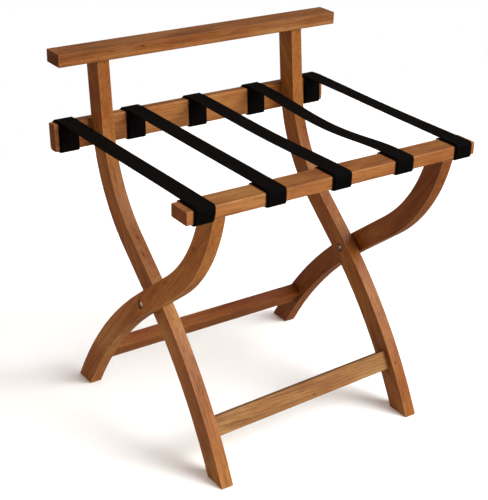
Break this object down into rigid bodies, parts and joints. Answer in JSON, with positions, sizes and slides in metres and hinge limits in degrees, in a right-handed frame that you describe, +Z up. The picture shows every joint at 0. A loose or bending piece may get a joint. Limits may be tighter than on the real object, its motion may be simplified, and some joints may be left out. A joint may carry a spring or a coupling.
{
  "type": "folding luggage rack",
  "caption": "Folding luggage rack: curved wooden X-frame legs that cross on pivot bolts, webbing straps between the upper rails and a raised back bar that stops the case.",
  "frame": {"origin": "Middle of the footprint, on the surface the feet stand on.", "axes": "X runs along the rails, Y from the front rail to the back bar, Z up."},
  "size_m": [0.6, 0.4813, 0.6825],
  "materials": {
    "stained_wood": "honey brown stain under a satin lacquer, straight open grain along each board",
    "dowel_wood": "bare beech, glued inside the joints",
    "webbing": "matte black woven webbing",
    "hardware_steel": "dark plated steel",
    "spacer_nylon": "dark nylon"
  },
  "bodies": {
    "outer_frame": {"front_rail": "stained_wood", "outer_leg_left": "stained_wood", "outer_leg_right": "stained_wood", "rear_stretcher": "stained_wood", "strap_1": "webbing", "strap_2": "webbing", "strap_3": "webbing", "strap_4": "webbing", "strap_5": "webbing", "pivot_bolt_left": "hardware_steel", "pivot_bolt_right": "hardware_steel", "bolt_washer_left": "hardware_steel", "bolt_washer_right": "hardware_steel", "pivot_spacer_left": "spacer_nylon", "pivot_spacer_right": "spacer_nylon", "nut_washer_left": "hardware_steel", "nut_washer_right": "hardware_steel", "pivot_nut_left": "hardware_steel", "pivot_nut_right": "hardware_steel", "front_rail_dowel_left_front": "dowel_wood", "front_rail_dowel_left_back": "dowel_wood", "front_rail_dowel_right_front": "dowel_wood", "front_rail_dowel_right_back": "dowel_wood", "rear_stretcher_dowel_left_upper": "dowel_wood", "rear_stretcher_dowel_left_lower": "dowel_wood", "rear_stretcher_dowel_right_upper": "dowel_wood", "rear_stretcher_dowel_right_lower": "dowel_wood", "front_tack_1": "hardware_steel", "front_tack_2": "hardware_steel", "front_tack_3": "hardware_steel", "front_tack_4": "hardware_steel", "front_tack_5": "hardware_steel"},
    "inner_frame": {"top_bar": "stained_wood", "rear_rail": "stained_wood", "inner_leg_left": "stained_wood", "inner_leg_right": "stained_wood", "front_stretcher": "stained_wood", "top_bar_dowel_left_front": "dowel_wood", "top_bar_dowel_left_back": "dowel_wood", "top_bar_dowel_right_front": "dowel_wood", "top_bar_dowel_right_back": "dowel_wood", "front_stretcher_dowel_left_upper": "dowel_wood", "front_stretcher_dowel_left_lower": "dowel_wood", "front_stretcher_dowel_right_upper": "dowel_wood", "front_stretcher_dowel_right_lower": "dowel_wood", "rail_screw_left_upper": "hardware_steel", "rail_screw_left_lower": "hardware_steel", "rail_screw_right_upper": "hardware_steel", "rail_screw_right_lower": "hardware_steel", "rear_tack_1": "hardware_steel", "rear_tack_2": "hardware_steel", "rear_tack_3": "hardware_steel", "rear_tack_4": "hardware_steel", "rear_tack_5": "hardware_steel"}
  },
  "joints": [
    {"name": "fold", "type": "hinge", "parent": "outer_frame", "child": "inner_frame", "pos_m": [0, -0.005, 0.2683], "axis": [1, 0, 0], "range_deg": [0, 65], "deforming": ["strap_1", "strap_2", "strap_3", "strap_4", "strap_5"]}
  ]
}
